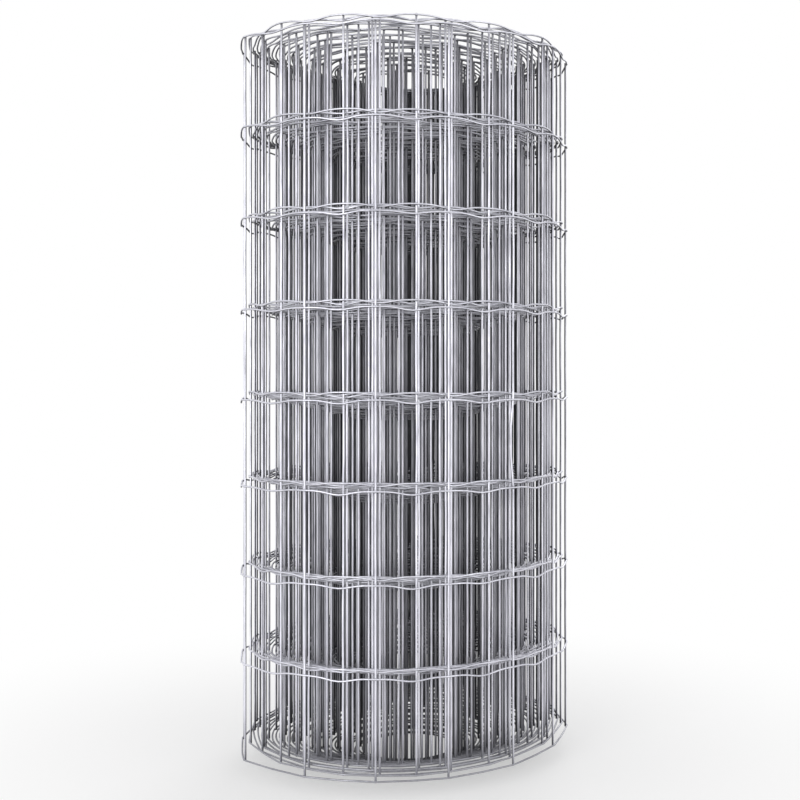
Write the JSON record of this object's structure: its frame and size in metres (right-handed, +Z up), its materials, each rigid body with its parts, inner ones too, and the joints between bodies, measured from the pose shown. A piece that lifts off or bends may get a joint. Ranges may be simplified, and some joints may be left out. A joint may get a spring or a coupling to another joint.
{
  "type": "roll of welded wire mesh fencing",
  "caption": "Roll of galvanised welded wire mesh fencing standing on end, with crimped line wires, upright stays and an open bore.",
  "frame": {"origin": "centre of the roll's axis at the floor that its innermost turns stand on", "axes": "+Z up the roll's axis, from the floor end to the top end"},
  "size_m": [0.3899, 0.39, 0.832],
  "materials": {
    "galvanised_wire": "hot-dip galvanised, bright, slightly dulled"
  },
  "bodies": {
    "root": {"mesh_roll": "galvanised_wire"}
  },
  "joints": []
}
